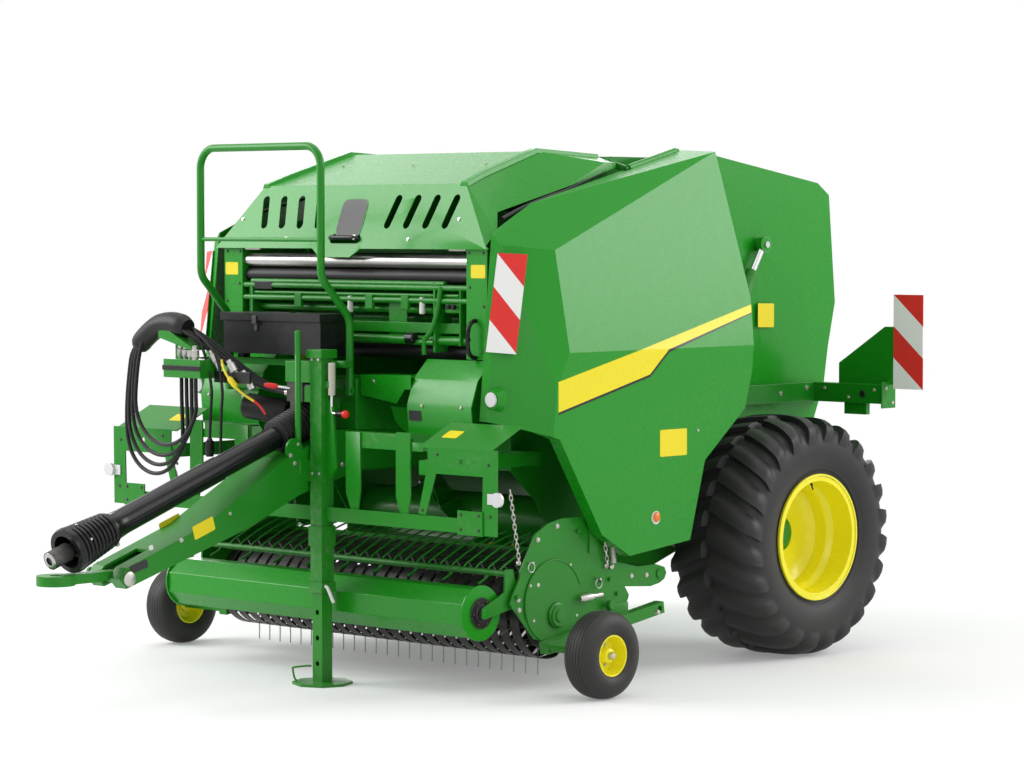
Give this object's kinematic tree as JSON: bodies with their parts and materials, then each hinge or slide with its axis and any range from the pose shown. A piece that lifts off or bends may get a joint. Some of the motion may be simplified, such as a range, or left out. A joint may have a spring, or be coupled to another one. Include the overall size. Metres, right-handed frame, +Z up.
{
  "type": "round baler",
  "caption": "Towed round baler with a lifting tine pick-up, roller bale chamber, rear tailgate, hinged side doors and hood, drawbar, drive shaft and parking jack.",
  "frame": {"origin": "centre of the footprint on the ground", "axes": "+X to the machine's left, +Y to the rear, +Z up; the drawbar points to -Y"},
  "size_m": [2.786, 4.3399, 2.317],
  "materials": {
    "green_paint": "gloss green paint",
    "green_frame": "satin green paint",
    "yellow_paint": "gloss yellow paint",
    "tyre_black": "worn rubber",
    "black_plastic": "moulded plastic",
    "black_rubber": "smooth rubber",
    "steel": "plain steel",
    "dark_steel": "dark steel",
    "chrome": "bright",
    "forged": "painted forging",
    "reflector_white": "ribbed reflector",
    "board_red_white": "striped reflective sheet"
  },
  "bodies": {
    "wheel_left": {"tyre_left": "tyre_black", "rim_left": "yellow_paint", "hub_left": "green_frame"},
    "cylinder_barrel_left": {"cylinder_barrel_left": "green_frame"},
    "cylinder_rod_left": {"cylinder_rod_left": "chrome"},
    "side_door_left": {"side_door_left": "green_paint"},
    "gauge_wheel_left": {"gauge_tyre_left": "tyre_black", "gauge_rim_left": "yellow_paint"},
    "wheel_right": {"tyre_right": "tyre_black", "rim_right": "yellow_paint", "hub_right": "green_frame"},
    "cylinder_barrel_right": {"cylinder_barrel_right": "green_frame"},
    "cylinder_rod_right": {"cylinder_rod_right": "chrome"},
    "side_door_right": {"side_door_right": "green_paint"},
    "gauge_wheel_right": {"gauge_tyre_right": "tyre_black", "gauge_rim_right": "yellow_paint"},
    "chassis": {"side_walls": "green_frame", "cross_members": "green_frame", "frame_pins": "green_frame", "axle": "green_frame", "roof_panel": "green_paint", "chamber_rollers": "green_frame", "front_plates": "green_paint", "front_covers": "green_paint", "net_roller_bright": "steel", "net_rollers_rubber": "black_rubber", "net_tray": "green_frame", "drawbar": "green_frame", "tow_eye": "forged", "gearbox": "green_frame", "shaft_guard": "black_plastic", "jack_post": "green_frame", "platform": "green_frame", "toolbox": "black_plastic", "handrail": "green_frame", "guard_frame": "green_frame", "rear_beams": "green_frame", "rear_boards": "board_red_white", "reflectors": "reflector_white", "hose_a": "black_rubber", "hose_b": "black_rubber", "hose_c": "black_rubber", "hose_d": "black_rubber"},
    "hood": {"hood": "green_paint"},
    "tailgate": {"tailgate": "green_paint", "tailgate_rollers": "green_frame"},
    "drive_shaft": {"drive_shaft": "steel"},
    "jack_leg": {"jack_leg": "green_frame"},
    "toolbox_lid": {"toolbox_lid": "black_plastic"},
    "feed_rotor": {"feed_rotor": "green_frame"},
    "pickup": {"pickup_frame": "green_frame", "pickup_strippers": "black_plastic", "gauge_wheel_arms": "green_frame"},
    "tine_reel": {"tine_reel": "dark_steel"},
    "crop_guard": {"crop_guard_arms": "green_frame", "crop_guard_comb": "dark_steel"},
    "crop_guard_drum": {"crop_guard_drum": "green_paint"}
  },
  "joints": [
    {"name": "wheel_left_spin", "type": "hinge", "parent": "chassis", "child": "wheel_left", "pos_m": [0.96, 1.353, 0.548], "axis": [1, 0, 0], "continuous": true},
    {"name": "gauge_wheel_left_spin", "type": "hinge", "parent": "pickup", "child": "gauge_wheel_left", "pos_m": [1.318, -0.279, 0.184], "axis": [1, 0, 0], "continuous": true},
    {"name": "side_door_left_lift", "type": "hinge", "parent": "chassis", "child": "side_door_left", "pos_m": [0.815, -0.192, 2.05], "axis": [0.1118, -0.9707, -0.2129], "range_deg": [0, 75]},
    {"name": "cylinder_barrel_left_swing", "type": "hinge", "parent": "chassis", "child": "cylinder_barrel_left", "pos_m": [0.688, 1.1, 1.16], "axis": [1, 0, 0], "range_deg": [0, 5.12]},
    {"name": "cylinder_rod_left_slide", "type": "slide", "parent": "cylinder_barrel_left", "child": "cylinder_rod_left", "axis": [0, 0.5505, 0.8348], "range_m": [0, 0.51168]},
    {"name": "wheel_right_spin", "type": "hinge", "parent": "chassis", "child": "wheel_right", "pos_m": [-0.96, 1.353, 0.548], "axis": [1, 0, 0], "continuous": true},
    {"name": "gauge_wheel_right_spin", "type": "hinge", "parent": "pickup", "child": "gauge_wheel_right", "pos_m": [-1.318, -0.279, 0.184], "axis": [1, 0, 0], "continuous": true},
    {"name": "side_door_right_lift", "type": "hinge", "parent": "chassis", "child": "side_door_right", "pos_m": [-0.815, -0.192, 2.05], "axis": [0.1118, 0.9707, 0.2129], "range_deg": [0, 75]},
    {"name": "cylinder_barrel_right_swing", "type": "hinge", "parent": "chassis", "child": "cylinder_barrel_right", "pos_m": [-0.688, 1.1, 1.16], "axis": [1, 0, 0], "range_deg": [0, 5.12]},
    {"name": "cylinder_rod_right_slide", "type": "slide", "parent": "cylinder_barrel_right", "child": "cylinder_rod_right", "axis": [0, 0.5505, 0.8348], "range_m": [0, 0.51168]},
    {"name": "tailgate_lift", "type": "hinge", "parent": "chassis", "child": "tailgate", "pos_m": [0, 1.235, 2.27], "axis": [1, 0, 0], "range_deg": [0, 60]},
    {"name": "hood_lift", "type": "hinge", "parent": "chassis", "child": "hood", "pos_m": [0, 0.525, 2.256], "axis": [-1, 0, 0], "range_deg": [0, 55]},
    {"name": "drive_shaft_spin", "type": "hinge", "parent": "chassis", "child": "drive_shaft", "pos_m": [0, -2.07, 0.637], "axis": [0, 0.9415, 0.3371], "continuous": true},
    {"name": "jack_slide", "type": "slide", "parent": "chassis", "child": "jack_leg", "axis": [0, 0, 1], "range_m": [0, 0.22]},
    {"name": "toolbox_lid_lift", "type": "hinge", "parent": "chassis", "child": "toolbox_lid", "pos_m": [0, -0.493, 1.533], "axis": [-1, 0, 0], "range_deg": [0, 90]},
    {"name": "feed_rotor_spin", "type": "hinge", "parent": "chassis", "child": "feed_rotor", "pos_m": [0, 0.33, 0.64], "axis": [1, 0, 0], "continuous": true},
    {"name": "pickup_lift", "type": "hinge", "parent": "chassis", "child": "pickup", "pos_m": [0, 0.49, 0.436], "axis": [-1, 0, 0], "range_deg": [0, 12]},
    {"name": "tine_reel_spin", "type": "hinge", "parent": "pickup", "child": "tine_reel", "pos_m": [0, -0.185, 0.312], "axis": [1, 0, 0], "continuous": true},
    {"name": "crop_guard_lift", "type": "hinge", "parent": "pickup", "child": "crop_guard", "pos_m": [0, 0.06, 0.47], "axis": [-1, 0, 0], "range_deg": [0, 12]},
    {"name": "crop_guard_drum_spin", "type": "hinge", "parent": "crop_guard", "child": "crop_guard_drum", "pos_m": [0, -0.598, 0.352], "axis": [1, 0, 0], "continuous": true}
  ],
  "couplings": [
    {"joint": "cylinder_barrel_left_swing", "follows": "tailgate_lift", "ratio": 0.084501},
    {"joint": "cylinder_rod_left_slide", "follows": "tailgate_lift", "m_per_rad": 0.48814},
    {"joint": "cylinder_barrel_right_swing", "follows": "tailgate_lift", "ratio": 0.084501},
    {"joint": "cylinder_rod_right_slide", "follows": "tailgate_lift", "m_per_rad": 0.48814}
  ]
}
